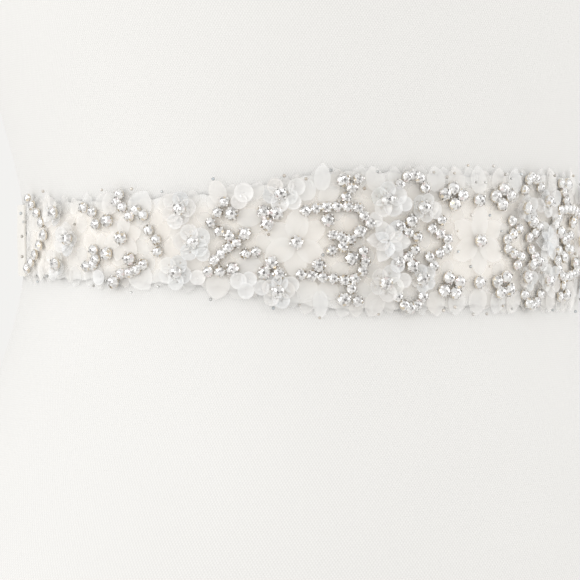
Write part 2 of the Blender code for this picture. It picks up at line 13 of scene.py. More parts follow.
import bpy
import numpy as np
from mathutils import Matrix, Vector


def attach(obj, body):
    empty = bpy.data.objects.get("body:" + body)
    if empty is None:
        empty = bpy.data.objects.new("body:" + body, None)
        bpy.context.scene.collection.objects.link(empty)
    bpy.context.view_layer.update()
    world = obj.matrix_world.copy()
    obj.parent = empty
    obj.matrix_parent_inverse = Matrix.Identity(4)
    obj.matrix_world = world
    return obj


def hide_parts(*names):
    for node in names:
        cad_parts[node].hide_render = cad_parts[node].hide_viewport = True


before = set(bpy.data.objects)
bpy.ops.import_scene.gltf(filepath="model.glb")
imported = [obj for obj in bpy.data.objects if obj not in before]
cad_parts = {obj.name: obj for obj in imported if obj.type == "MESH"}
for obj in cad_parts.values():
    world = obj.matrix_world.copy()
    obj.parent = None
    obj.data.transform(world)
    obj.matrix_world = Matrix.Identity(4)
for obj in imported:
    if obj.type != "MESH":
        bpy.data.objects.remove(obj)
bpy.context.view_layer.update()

MM = 0.001
BODY = "root"
SEED = 41
rng = random.Random(SEED)
SHARP_ANGLE = math.radians(45)

# Dress form
WAIST_Z = 0.285
FORM_TOP = 0.700
EdgeRing = namedtuple("EdgeRing", "from_end inset")
EDGE_RINGS = (
    EdgeRing(0.0, 0.004),
    EdgeRing(0.0015, 0.0016),
    EdgeRing(0.004, 0.0004),
)
EVEN_FROM = 0.008
Section = namedtuple("Section", "z half_width front back")
FORM_SECTIONS = [Section(*row) for row in (
    (0.000, 0.157, 0.100, 0.112), (0.050, 0.167, 0.106, 0.119), (0.100, 0.167, 0.109, 0.121),
    (0.150, 0.157, 0.110, 0.117), (0.200, 0.134, 0.105, 0.108), (0.240, 0.1145, 0.0975, 0.0995),
    (0.285, 0.1050, 0.0920, 0.0920), (0.330, 0.1140, 0.0980, 0.0995), (0.380, 0.130, 0.106, 0.108),
    (0.430, 0.142, 0.110, 0.112), (0.480, 0.150, 0.108, 0.113), (0.530, 0.163, 0.098, 0.108),
    (0.565, 0.173, 0.086, 0.098), (0.590, 0.168, 0.074, 0.084), (0.612, 0.136, 0.064, 0.072),
    (0.632, 0.092, 0.056, 0.061), (0.655, 0.063, 0.053, 0.055), (0.700, 0.056, 0.053, 0.053),
)]
BUST_Z = 0.455
BUST_OUT = 0.024
BUST_HALF_WIDTH = 0.112
BUST_SPREAD_Z = 0.052
BUST_HOLLOW = 0.14
BUST_HOLLOW_WIDTH = 0.036
JERSEY_AROUND = 220
JERSEY_LEVELS = 240
JERSEY_MEAN_RADIUS = 0.105

# Outline of the beaded panel, in millimetres
PANEL_HALF_LENGTH = 186.0
REACH_PAST_EDGE = 3.5
HalfHeight = namedtuple("HalfHeight", "u half")
HALF_HEIGHTS = [HalfHeight(*row) for row in (
    (-186, 12.0), (-165, 13.0), (-135, 13.5), (-105, 14.5), (-88, 16.0),
    (-72, 19.0), (-56, 22.0), (-30, 22.5), (0, 22.0),
)]

# Ribbon, knot and bow
SKIN_GAP = 0.0005
SEAM_GAP = 0.0003
ARC_OUT = SKIN_GAP + 0.0035
RIBBON_WIDTH = 0.0252
RIBBON_HALF = 0.0125
RIBBON_REACH = RIBBON_HALF + 0.003
RIBBON_WALL = 0.0010
RIBBON_INSIDE = 0.35 * RIBBON_WALL
RIBBON_PINCHED = 0.0085
RIBBON_PLEATS = 2
PINCH_FROM = 0.45
PLEAT_RISE = 0.0011
BACK_EASE = 0.00015
KNOT_HALF_WIDTH = 0.0100
KNOT_HALF_HEIGHT = 0.0115
KNOT_HALF_DEPTH = 0.0080
KNOT_RINGS = 12
KNOT_CREASE = 0.035
KNOT_WRAP = 0.05
LOOP_REACH = 0.042
LOOP_MIDDLE = 0.0105
LOOP_PARTING = 0.0012
LOOP_OPEN = 0.0085
LOOP_FOLD = 0.0009
LOOP_CUP = 0.0012
LOOP_DROOP = 0.50
LOOP_ROOT_HALF = 0.0062
LOOP_ROOT_REACH = 0.0155
LOOP_END_REACH = 0.0400
TAIL_ROOT_HALF = 0.0050
TAIL_ROOT_OUT = 0.0072
TAIL_END_Z = 0.040
TAIL_SPREAD = 0.036
TAIL_CUT = 0.012
TAIL_LIFT = 0.0011
TAIL_WAVE = 0.0042

# Beadwork chart, in millimetres and degrees
Flower = namedtuple("Flower", "u v radius petals angle kind")
FLOWERS = [Flower(*row) for row in (
    (0.0, 0.0, 12.0, 6, 30, "leaf"), (-35.0, 0.0, 7.8, 6, 0, "crystal"),
    (-35.5, 13.5, 6.3, 5, 20, "cup"), (-36.0, -13.8, 6.3, 5, 60, "cup"),
    (-22.5, 11.0, 5.0, 5, 0, "cup"), (-22.8, -12.5, 5.0, 5, 40, "cup"),
    (-65.5, -0.5, 11.5, 6, 30, "leaf"), (-70.7, 15.2, 5.8, 5, 50, "cup"),
    (-71.5, -16.5, 5.8, 5, 10, "cup"), (-104.0, 10.5, 6.0, 5, 0, "cup"),
    (-99.5, -0.5, 6.3, 5, 30, "cup"), (-105.5, -10.2, 6.0, 5, 60, "cup"),
    (-125.5, 1.0, 8.0, 6, 15, "leaf"), (-157.0, 9.6, 5.6, 5, 20, "cup"),
    (-149.5, 0.6, 5.8, 5, 0, "cup"), (-156.0, -7.8, 5.6, 5, 50, "cup"),
)]
Leaf = namedtuple("Leaf", "u v length width angle")
LEAVES = [Leaf(*row) for row in (
    (0.0, 20.5, 9.5, 7.0, 90), (0.0, -20.5, 9.0, 8.0, -90), (-9.5, 20.5, 8.5, 7.0, 100),
    (-9.0, -20.8, 8.0, 7.0, -80), (-17.5, 20.5, 8.5, 7.0, 100), (-17.0, -20.8, 8.5, 7.0, -75),
    (-39.5, 20.2, 8.5, 6.5, 105), (-39.5, -20.8, 8.5, 7.0, -105), (-54.5, 15.5, 8.5, 6.0, 40),
    (-57.0, 20.8, 9.0, 5.5, 85), (-62.5, 17.0, 8.0, 6.5, 100), (-57.5, -20.8, 9.0, 5.0, -85),
    (-54.5, -16.2, 8.0, 6.0, -30), (-62.0, -16.5, 8.0, 7.0, -110), (-80.5, 7.5, 9.0, 6.0, 5),
    (-80.8, -7.8, 9.0, 6.0, -5), (-91.5, 16.2, 8.0, 6.0, 110), (-91.5, -15.0, 8.5, 8.0, -100),
    (-118.5, 12.0, 9.5, 9.0, 60), (-118.5, -12.0, 9.5, 9.0, -60), (-131.0, 12.5, 8.0, 6.5, 110),
    (-136.0, -11.0, 7.0, 4.5, -70), (-163.5, 12.5, 8.0, 5.5, 100), (-168.0, -10.0, 8.0, 5.5, -110),
)]
Chain = namedtuple("Chain", "u0 v0 u1 v1 bulge stones")
CHAINS = [Chain(*row) for row in (
    (-31.0, 18.3, -21.8, 17.3, 4.0, 5), (-31.5, -18.3, -22.3, -18.3, -3.8, 5),
    (-30.5, 4.8, -24.5, 1.2, -0.5, 3), (-25.5, -3.0, -30.8, -7.0, 0.3, 3),
    (-19.0, 4.0, -15.5, 6.8, 0.0, 2), (-16.0, 2.3, -13.0, 0.6, 0.0, 2),
    (-20.0, -5.3, -18.3, -8.3, 0.0, 2), (-16.2, -4.2, -13.3, -2.7, 0.0, 2),
    (-62.5, 9.6, -45.3, 10.6, 1.0, 6), (-43.2, 8.0, -41.2, 5.6, 0.0, 2),
    (-49.3, 14.2, -45.3, 20.0, 0.0, 3), (-43.5, -3.3, -46.3, -12.3, 2.0, 4),
    (-64.0, -10.8, -49.8, -12.8, 0.0, 5), (-47.5, -15.6, -45.3, -19.6, 0.0, 2),
    (-53.7, 1.9, -47.7, 0.4, 0.0, 3), (-54.0, -3.2, -50.3, -2.1, 0.0, 2),
    (-89.0, 12.5, -93.6, 5.8, 0.0, 3), (-90.8, 3.0, -85.0, -0.8, 0.6, 3),
    (-87.8, -2.2, -92.5, -6.4, 0.0, 3), (-94.5, -10.0, -90.5, -10.0, 0.0, 2),
    (-82.0, -4.3, -78.7, -3.6, 0.0, 2), (-115.3, 3.4, -112.0, -3.6, 1.2, 3),
    (-126.5, 15.3, -125.3, 11.0, -1.6, 3), (-122.5, 8.0, -117.2, 8.3, 2.0, 3),
    (-142.0, 11.0, -136.5, 5.5, 1.8, 3), (-137.5, -3.0, -141.0, -8.5, 2.6, 4),
    (-126.0, -10.8, -117.4, -7.6, -1.0, 4), (-178.0, 14.5, -166.5, 6.2, 0.6, 4),
    (-165.0, 2.0, -180.0, -9.5, 1.2, 5),
)]
Place = namedtuple("Place", "u v")
STONES = [Place(*row) for row in (
    (0.0, 13.6), (0.0, -13.9), (-14.2, 15.4), (-11.0, 17.4), (-7.3, 15.0), (-10.4, 12.2),
    (-12.6, -12.2), (-8.2, -13.7), (-14.4, -16.5), (-9.9, -17.4), (-26.6, 6.6), (-26.4, -8.2),
    (-50.2, 19.6), (-44.8, 3.0), (-47.5, -5.7), (-50.0, -19.0), (-55.3, 6.6), (-58.3, -8.0),
    (-76.2, 9.4), (-71.8, 9.0), (-75.0, 5.4), (-73.5, -7.0), (-76.0, -10.4), (-71.2, -10.8),
    (-86.6, 8.8), (-82.3, 2.3), (-86.2, -9.2), (-131.5, 6.6), (-131.7, -4.2), (-122.6, -5.9),
    (-129.2, -13.6),
)]
Sequin = namedtuple("Sequin", "u v radius bright")
SEQUINS = [Sequin(*row) for row in (
    (-18.8, 10.0, 2.9, 1), (-66.5, 12.6, 2.6, 1), (-65.8, 17.6, 3.0, 0), (-72.5, -12.6, 2.6, 1),
    (-67.3, -13.8, 2.8, 1), (-82.5, 15.6, 3.2, 0), (-84.0, 12.4, 2.8, 0), (-84.5, -12.8, 2.8, 1),
    (-80.8, -12.2, 2.6, 1), (-82.0, -15.9, 2.8, 0), (-76.8, -15.4, 2.6, 0), (-105.5, 6.4, 2.6, 1),
    (-96.3, -4.2, 2.4, 1), (-98.0, -12.2, 2.6, 1), (-134.5, -12.0, 2.6, 0), (-160.8, 8.8, 2.6, 1),
    (-29.5, 12.0, 2.6, 0), (-29.8, -13.0, 2.6, 0), (-39.8, 6.8, 2.5, 1), (-32.0, -8.0, 2.5, 1),
)]
SEED_BEADS = [Place(*row) for row in (
    (-5.5, 25.0), (-2.0, 19.5), (-19.0, 22.5), (-11.0, 22.3), (-14.0, 21.0), (-10.5, -22.0),
    (-15.0, -23.0), (-3.0, -24.5), (-4.0, 8.5), (-4.2, -8.6), (-9.5, 3.2), (-9.3, -3.6),
    (-31.0, -11.0), (-39.0, 22.5), (-43.5, 17.0), (-38.5, -24.0), (-54.5, 22.8), (-62.5, 20.0),
    (-58.0, -25.0), (-64.5, -20.8), (-74.5, 2.0), (-57.0, -4.6), (-69.5, 21.0), (-73.0, -21.8),
    (-92.5, 20.0), (-93.5, -19.0), (-110.0, 16.0), (-111.5, -15.0), (-121.0, 17.0), (-121.5, -17.0),
    (-133.0, 16.8), (-137.0, -15.0), (-145.5, 5.5), (-163.5, 16.8), (-161.5, -12.0), (-168.5, -14.0),
    (-181.5, 6.5), (-184.5, 9.5), (-183.5, 1.5), (-183.5, -5.5),
)]
STONE_RADIUS = 2.25
CHAIN_RADIUS = 1.85
TULLE_OUT = -0.05
TULLE_WALL = 0.25
GROUND_STEP = 5.6
GROUND_INSET = 1.2
EDGE_LEAF_FROM = 10.0
EDGE_TILT = 0.09

# Heights of the beadwork's layers over the form's skin
GROUND_HEIGHT = 0.45
LEAF_HEIGHT = 0.88
PETAL_HEIGHT = LEAF_HEIGHT + 0.3
CRYSTAL_HEIGHT = LEAF_HEIGHT + 0.5
CUP_HEIGHT = LEAF_HEIGHT + 0.6
SEQUIN_HEIGHT = LEAF_HEIGHT + 0.9
SEED_HEIGHT = LEAF_HEIGHT + 1.1
STONE_HEIGHT = LEAF_HEIGHT + 0.3
FLOWER_STONE_HEIGHT = LEAF_HEIGHT + 1.0


# Curves and places on the form, worked out for whole arrays at once


def spline(knots, values):
    """A natural cubic spline through the values at the knots, as a function."""
    x = np.array(knots, float)
    y = np.array(values, float)
    gap = np.diff(x)
    count = len(x)
    system = np.eye(count)
    right = np.zeros(count)
    for i in range(1, count - 1):
        system[i, i - 1 : i + 2] = (gap[i - 1], 2 * (gap[i - 1] + gap[i]), gap[i])
        right[i] = 6 * ((y[i + 1] - y[i]) / gap[i] - (y[i] - y[i - 1]) / gap[i - 1])
    bend = np.linalg.solve(system, right)

    def value(at):
        at = np.asarray(at, float)
        i = np.clip(np.searchsorted(x, at) - 1, 0, count - 2)
        a = (x[i + 1] - at) / gap[i]
        b = (at - x[i]) / gap[i]
        curved = ((a**3 - a) * bend[i] + (b**3 - b) * bend[i + 1]) * gap[i] ** 2 / 6
        return a * y[i] + b * y[i + 1] + curved

    return value


heights = [s.z for s in FORM_SECTIONS]
form_half_width = spline(heights, [s.half_width for s in FORM_SECTIONS])
form_front = spline(heights, [s.front for s in FORM_SECTIONS])
form_back = spline(heights, [s.back for s in FORM_SECTIONS])
base_half = spline(
    [h.u for h in HALF_HEIGHTS] + [-h.u for h in reversed(HALF_HEIGHTS[:-1])],
    [h.half for h in HALF_HEIGHTS] + [h.half for h in reversed(HALF_HEIGHTS[:-1])],
)


def form_points(turn, z, out=0.0):
    """Points out from the form's skin, at a turn about its axis and a height. Turn 0 faces front."""
    turn, z, out = np.broadcast_arrays(*(np.asarray(a, float) for a in (turn, z, out)))
    wide = form_half_width(z)
    deep = np.where(np.cos(turn) > 0, form_front(z), form_back(z))
    x = wide * np.sin(turn)
    facing = np.maximum(0.0, np.cos(turn)) ** 0.5
    across = np.exp(-((x / BUST_HALF_WIDTH) ** 4))
    hollow = 1 - BUST_HOLLOW * np.exp(-((x / BUST_HOLLOW_WIDTH) ** 2))
    along = np.exp(-(((z - BUST_Z) / BUST_SPREAD_Z) ** 2))
    y = -deep * np.cos(turn) - BUST_OUT * across * hollow * along * facing
    normal_x = np.sin(turn) / wide
    normal_y = -np.cos(turn) / deep
    size = np.hypot(normal_x, normal_y)
    return np.stack([x + out * normal_x / size, y + out * normal_y / size, z], axis=-1)


def lengths_along(points):
    """Each point's distance from the first, along their line."""
    steps = np.linalg.norm(np.diff(points, axis=0), axis=1)
    return np.concatenate([[0.0], np.cumsum(steps)])


TURNS = np.linspace(-math.pi, math.pi, 1441)
ARCS = lengths_along(form_points(TURNS, WAIST_Z, ARC_OUT))
ARCS -= ARCS[len(ARCS) // 2]
HALF_ROUND = float(ARCS[-1])


def turn_at(u):
    """The turn at u metres round the waist."""
    wrapped = (np.asarray(u) + HALF_ROUND) % (2 * HALF_ROUND) - HALF_ROUND
    return np.interp(wrapped, ARCS, TURNS)


def band_points(u, v, out, reach):
    """Points over the waist, on straight lines between the form's skin at -reach and +reach."""
    u, v, out, reach = np.broadcast_arrays(*(np.asarray(a, float) for a in (u, v, out, reach)))
    turn = turn_at(u)
    low = form_points(turn, WAIST_Z - reach, SKIN_GAP + out)
    high = form_points(turn, WAIST_Z + reach, SKIN_GAP + out)
    share = ((v + reach) / (2 * reach))[..., None]
    return low * (1 - share) + high * share


def on_panel(points):
    """World points from rows of (u, v, h) in millimetres."""
    u, v, h = np.asarray(points, float).T
    reach = base_half(np.clip(u, -PANEL_HALF_LENGTH, PANEL_HALF_LENGTH)) + REACH_PAST_EDGE
    return band_points(u * MM, v * MM, h * MM, reach * MM)


def eased(share):
    """A share from 0 to 1 that starts and ends softly."""
    share = np.clip(share, 0.0, 1.0)
    return share * share * (3 - 2 * share)


# Materials


class Nodes:
    """A material under construction, with short ways to add and join nodes."""

    def __init__(self, name):
        self.material = bpy.data.materials.new(name)
        self.material.use_nodes = True
        self.tree = self.material.node_tree
        self.shader = self.tree.nodes["Principled BSDF"]

    def add(self, kind, **settings):
        node = self.tree.nodes.new(kind)
        for key, value in settings.items():
            if hasattr(node, key):
                setattr(node, key, value)
            else:
                node.inputs[key.replace("_", " ")].default_value = value
        return node

    def join(self, source, target):
        self.tree.links.new(source, target)

    def set(self, **values):
        for key, value in values.items():
            self.shader.inputs[key.replace("_", " ")].default_value = value

    def fill(self, slot, value):
        """Sets a socket to a number or a colour, or joins another node's output to it."""
        if isinstance(value, tuple):
            slot.default_value = (*value, 1.0)
        elif isinstance(value, (int, float)):
            slot.default_value = value
        else:
            self.join(value, slot)

    def math(self, operation, a, b=0.0, c=0.0):
        node = self.add("ShaderNodeMath", operation=operation)
        for slot, value in zip(node.inputs, (a, b, c)):
            self.fill(slot, value)
        return node.outputs[0]

    def mix(self, factor, a, b):
        node = self.add("ShaderNodeMix", data_type="RGBA")
        for number, value in ((0, factor), (6, a), (7, b)):
            self.fill(node.inputs[number], value)
        return node.outputs[2]

    def paint(self, factor, a, b):
        self.join(self.mix(factor, a, b), self.shader.inputs["Base Color"])

    def noise(self, scale, detail=2.0):
        """Soft noise by the place on the piece."""
        node = self.add("ShaderNodeTexNoise", Scale=scale, Detail=detail)
        self.join(self.add("ShaderNodeTexCoord").outputs["Object"], node.inputs["Vector"])
        return node.outputs["Fac"]

    def cloth_place(self):
        """Metres along and across the cloth, from the piece's UV map."""
        split = self.add("ShaderNodeSeparateXYZ")
        self.join(self.add("ShaderNodeUVMap", uv_map="cloth").outputs[0], split.inputs[0])
        return split.outputs[0], split.outputs[1]

    def facet_colour(self):
        """The colour that the piece's own faces hold."""
        return self.add("ShaderNodeVertexColor", layer_name="facet").outputs["Color"]

    def waves(self, along, pitch):
        """0 to 1 waves with the given pitch in metres."""
        swing = self.math("SINE", self.math("MULTIPLY", along, 2 * math.pi / pitch))
        return self.math("MULTIPLY_ADD", swing, 0.5, 0.5)

    def bump(self, height, distance, strength=1.0):
        node = self.add("ShaderNodeBump", Strength=strength, Distance=distance)
        self.join(height, node.inputs["Height"])
        self.join(node.outputs[0], self.shader.inputs["Normal"])


KNIT_COURSE = 0.00072
KNIT_WALE = 0.00086
JERSEY_LIGHT = (0.842, 0.838, 0.828)
JERSEY_DARK = (0.732, 0.727, 0.717)
JERSEY_THROUGH_NET = (0.800, 0.796, 0.786)
NET_PITCH = 0.0009
TULLE_DARK = (0.88, 0.84, 0.79)
TULLE_LIGHT = (0.93, 0.905, 0.87)
RIB_PITCH = 0.00035
SATIN_DARK = (0.80, 0.77, 0.72)
SATIN_LIGHT = (0.90, 0.875, 0.83)
CAP_DARK = (0.78, 0.765, 0.74)
CAP_LIGHT = (0.85, 0.84, 0.82)
FROST_ALPHA = 0.43
GROUND_ALPHA = 0.36
PEARL_ALPHA = 0.64


def jersey_material():
    """Fine knit: rows of small stitches, painted a little brighter on top than between, a painted
    shade of their relief.
    """
    m = Nodes("white_jersey_knit")
    along, up = m.cloth_place()
    row = m.math("FLOOR", m.math("DIVIDE", up, KNIT_COURSE))
    half_row = m.math("MULTIPLY", row, KNIT_WALE / 2)
    wales = m.waves(m.math("ADD", along, half_row), KNIT_WALE)
    courses = m.waves(up, KNIT_COURSE)
    # The stitch pattern in the colour is painted shade of the knit's relief; the cloud adds a random
    # mottle.
    stitch = m.math("MULTIPLY", wales, m.math("MULTIPLY_ADD", courses, 0.4, 0.6))
    cloud = m.noise(18.0)
    shade = m.math("MULTIPLY_ADD", cloud, 0.25, m.math("MULTIPLY", stitch, 0.85))
    m.paint(shade, JERSEY_DARK, JERSEY_LIGHT)
    m.set(Roughness=0.92, Sheen_Weight=0.25, Sheen_Roughness=0.6, Specular_IOR_Level=0.2)
    m.bump(stitch, 0.00010, 0.4)
    return m.material


def tulle_material():
    """Fine ivory net that shows the jersey through it towards its edge."""
    m = Nodes("ivory_tulle")
    along, up = m.cloth_place()
    one_way = m.waves(m.math("ADD", along, up), NET_PITCH)
    other_way = m.waves(m.math("SUBTRACT", along, up), NET_PITCH)
    net = m.math("MAXIMUM", one_way, other_way)
    cloud = m.noise(120.0)
    shade = m.math("MULTIPLY_ADD", net, 0.6, m.math("MULTIPLY", cloud, 0.4))
    m.paint(m.facet_colour(), JERSEY_THROUGH_NET, m.mix(shade, TULLE_DARK, TULLE_LIGHT))
    m.set(Roughness=0.75, Sheen_Weight=0.15, Specular_IOR_Level=0.3)
    m.bump(net, 0.0001, 0.5)
    return m.material


def satin_material():
    """Ribbon satin: very fine ribs across, a soft gloss."""
    m = Nodes("ivory_satin_weave")
    along, _ = m.cloth_place()
    ribs = m.waves(along, RIB_PITCH)
    cloud = m.noise(90.0)
    shade = m.math("MULTIPLY_ADD", ribs, 0.4, m.math("MULTIPLY", cloud, 0.6))
    m.paint(shade, SATIN_DARK, SATIN_LIGHT)
    m.set(Roughness=0.36, Sheen_Weight=0.3, Sheen_Roughness=0.4, Specular_IOR_Level=0.55)
    m.bump(ribs, 0.00003, 0.35)
    return m.material


def facet_material(name, metallic, roughness, coat=0.0):
    """Colour from the piece's own facets, with a polished surface."""
    m = Nodes(name)
    m.join(m.facet_colour(), m.shader.inputs["Base Color"])
    m.set(Metallic=metallic, Roughness=roughness, Coat_Weight=coat, Coat_Roughness=0.05)
    return m


def stone_material():
    """Facets that mirror the light, each painted in a tone that stands for what it mirrors: painted
    reflections.
    """
    return facet_material("clear_stone", 1.0, 0.08).material


def silver_material():
    """Silvered metal, slightly scratched."""
    m = facet_material("silver_claw", 1.0, 0.3)
    m.bump(m.noise(3000.0), 0.00002, 0.4)
    return m.material


def frosted_material(name, alpha):
    """Frosted petals: pale, waxy and a little see-through."""
    m = facet_material(name, 0.0, 0.42, 0.15)
    m.set(Specular_IOR_Level=0.5, Alpha=alpha)
    m.bump(m.noise(900.0), 0.0001, 0.3)
    return m.material


def pearl_material():
    """Pearly cup sequins and curled petals, glossy and slightly uneven."""
    m = facet_material("pearly_sequin", 0.0, 0.09, 0.8)
    m.set(Specular_IOR_Level=0.8, Alpha=PEARL_ALPHA)
    m.bump(m.noise(420.0), 0.0004, 0.22)
    return m.material


def cap_material():
    """Off-white paint with a fine grain."""
    m = Nodes("cap_paint")
    grain = m.noise(220.0, 4.0)
    m.paint(grain, CAP_DARK, CAP_LIGHT)
    m.set(Roughness=0.45, Coat_Weight=0.1)
    m.bump(grain, 0.0002, 0.15)
    return m.material


# Mesh making


def corner_points(mesh):
    """The number of the point at each face corner."""
    corners = np.empty(len(mesh.loops), np.int32)
    mesh.loops.foreach_get("vertex_index", corners)
    return corners


def paint_corners(mesh, tones):
    """Gives each face corner its colour, in the facet attribute."""
    values = np.hstack([np.asarray(tones, np.float32), np.ones((len(tones), 1), np.float32)])
    layer = mesh.color_attributes.new("facet", "FLOAT_COLOR", "CORNER")
    layer.data.foreach_set("color", values.ravel())


def lay_cloth(mesh, places):
    """Gives each face corner its place in the cut, in the cloth UV map."""
    layer = mesh.uv_layers.new(name="cloth")
    layer.data.foreach_set("uv", np.asarray(places, np.float32).ravel())


def add_object(name, points, faces, material, smooth=True, colours=None, cloth=None):
    """colours gives one colour to a face; cloth gives each point its place in the cut."""
    mesh = bpy.data.meshes.new(name)
    mesh.from_pydata(np.asarray(points).tolist(), [], faces)
    mesh.update()
    if smooth:
        mesh.shade_smooth()
        mesh.set_sharp_from_angle(angle=SHARP_ANGLE)
    if colours is not None:
        paint_corners(mesh, np.repeat(colours, [len(face) for face in faces], axis=0))
    if cloth is not None:
        lay_cloth(mesh, np.asarray(cloth)[corner_points(mesh)])
    mesh.materials.append(material)
    made = bpy.data.objects.new(name, mesh)
    bpy.context.scene.collection.objects.link(made)
    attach(made, BODY)
    return made


def grid_faces(rows, columns, closed=False):
    """Quads between the rows of a grid of points; closed joins each row's two ends."""
    faces = []
    for i in range(rows - 1):
        for j in range(columns if closed else columns - 1):
            k = (j + 1) % columns
            a = i * columns
            faces.append((a + j, a + k, a + columns + k, a + columns + j))
    return faces


def turned_over(faces):
    return [tuple(reversed(face)) for face in faces]


def barrel_faces(rings, sides):
    """Sides and ends of a barrel whose rings run downwards, or mirrored and upwards."""
    last = range((rings - 1) * sides, rings * sides)
    ends = [tuple(range(sides)), tuple(reversed(last))]
    return turned_over(grid_faces(rings, sides, closed=True)) + ends


class Beads:
    """Many small things gathered into one mesh, charted in (u, v, h) millimetres."""

    def __init__(self):
        self.points = []
        self.faces = []
        self.colours = []
        self.count = 0

    def add(self, points, faces, colours):
        self.points.append(np.asarray(points, float))
        self.faces += [tuple(i + self.count for i in face) for face in faces]
        self.colours += list(colours)
        self.count += len(points)

    def add_plain(self, points, faces, tone):
        self.add(points, faces, [tone] * len(faces))

    def build(self, name, material, smooth=True):
        points = on_panel(np.vstack(self.points))
        return add_object(name, points, self.faces, material, smooth, self.colours)


def circle(radius, height, count, turn=0.0):
    angles = turn + 2 * math.pi * np.arange(count) / count
    x = radius * np.cos(angles)
    y = radius * np.sin(angles)
    return np.stack([x, y, np.full(count, height)], axis=1)


def placed(points, u, v, h, turn=0.0, tilt=0.0, tilt_way=0.0):
    """Points turned about the outward axis, tilted towards tilt_way and moved to (u, v, h)."""
    c, s = math.cos(turn), math.sin(turn)
    spun = np.asarray(points, float) @ np.array([[c, s, 0], [-s, c, 0], [0, 0, 1]])
    axis = np.array([-math.sin(tilt_way), math.cos(tilt_way), 0.0])
    c, s = math.cos(tilt), math.sin(tilt)
    leaning = spun * c + np.cross(axis, spun) * s + np.outer(spun @ axis, axis) * (1 - c)
    return leaning + np.array([u, v, h])


# Stones in claw settings, with their sizes as shares of the stone's radius

Ring = namedtuple("Ring", "radius height")
TIP_HEIGHT = 1.05
CORE = Ring(0.24, 1.06)
TABLE = Ring(0.54, 1.00)
CROWN = Ring(0.82, 0.80)
GIRDLE = Ring(1.00, 0.50)
LOWER = Ring(0.99, 0.40)
CUP_RINGS = (Ring(0.80, 0.0), Ring(0.95, 0.12), Ring(0.98, 0.37), Ring(0.90, 0.39))
FACETS = 8
CUP_SIDES = 12
CLAWS = 4
ClawSection = namedtuple("ClawSection", "out half_width height")
CLAW_SECTIONS = (
    ClawSection(1.06, 0.13, 0.30),
    ClawSection(1.02, 0.12, 0.78),
    ClawSection(0.76, 0.10, 0.94),
    ClawSection(0.92, 0.11, 0.55),
)
CLAW_POINTS = np.array([
    (section.out, way * section.half_width, section.height)
    for section in CLAW_SECTIONS
    for way in (-1, 1)
])
CLAW_FACES = ((0, 1, 3, 2), (2, 3, 5, 4), (4, 5, 7, 6), (0, 2, 4, 6), (1, 7, 5, 3), (0, 6, 7, 1))
# Tones for the stones' facets are painted reflections: dark, grey, white, gold and rose facets stand
# in for what a clear stone mirrors.
WHITE = (0.89, 0.89, 0.893)
BRIGHT = (0.82, 0.82, 0.82)
SOFT = (0.76, 0.75, 0.745)
GREY = (0.64, 0.63, 0.625)
DARK = (0.46, 0.45, 0.445)
DEEP = (0.27, 0.26, 0.26)
GOLD = (0.70, 0.62, 0.50)
# Painted tan shade on the stones' sides below the girdle and on their cups.
PAINTED_TAN_SHADE = (0.82, 0.75, 0.64)
ROSE = (0.82, 0.75, 0.75)
CLAW_TONE = (0.91, 0.90, 0.88)
CORE_TONES = (DEEP, DARK, DEEP, DEEP, GREY)
ARM_TONES = (DARK, GREY, DARK, SOFT)
LIT_TONES = (WHITE, BRIGHT, WHITE, SOFT)
TABLE_TONES = (GREY, BRIGHT, SOFT)
CROWN_TONES = (
    WHITE, BRIGHT, GREY, SOFT, WHITE, GREY, BRIGHT,
    GOLD, WHITE, SOFT, ROSE, WHITE, GREY, BRIGHT,
)


def ring_points(ring, radius, count, turn=0.0):
    return circle(ring.radius * radius, ring.height * radius, count, turn)


def stone_points(radius):
    """The stone's tip and its five rings of corners, from the top down."""
    half_step = math.pi / FACETS
    return np.vstack([
        [[0.0, 0.0, TIP_HEIGHT * radius]],
        ring_points(CORE, radius, FACETS, half_step),
        ring_points(TABLE, radius, FACETS),
        ring_points(CROWN, radius, FACETS, half_step),
        ring_points(GIRDLE, radius, 2 * FACETS),
        ring_points(LOWER, radius, 2 * FACETS),
    ])


def stone_facets():
    """The stone's faces and a tone for each, as painted reflections: a dark core, lit and dark arms,
    a lively crown, and painted tan shade on the sides below the girdle.
    """
    core = 1
    table = core + FACETS
    crown = table + FACETS
    girdle = crown + FACETS
    lower = girdle + 2 * FACETS
    facets = []
    for i in range(FACETS):
        before = (i - 1) % FACETS
        j = (i + 1) % FACETS
        edge = girdle + 2 * i
        core_tone = rng.choice(CORE_TONES)
        arm_tone = rng.choice(ARM_TONES if i % 2 else LIT_TONES)
        facets += [
            ((0, core + i, core + j), core_tone),
            ((core + i, table + i, table + j), arm_tone),
            ((core + i, table + j, core + j), rng.choice(TABLE_TONES)),
            ((table + i, crown + i, table + j), rng.choice((arm_tone, BRIGHT))),
            ((table + i, crown + before, edge, crown + i), rng.choice(CROWN_TONES)),
            ((crown + i, edge, edge + 1), rng.choice(CROWN_TONES)),
            ((crown + i, edge + 1, girdle + 2 * j), rng.choice(CROWN_TONES)),
        ]
        # The sides below the girdle are painted tan, a painted shade.
        for k in (2 * i, 2 * i + 1):
            after = (k + 1) % (2 * FACETS)
            facets.append(((girdle + k, lower + k, lower + after, girdle + after), PAINTED_TAN_SHADE))
    return zip(*facets)


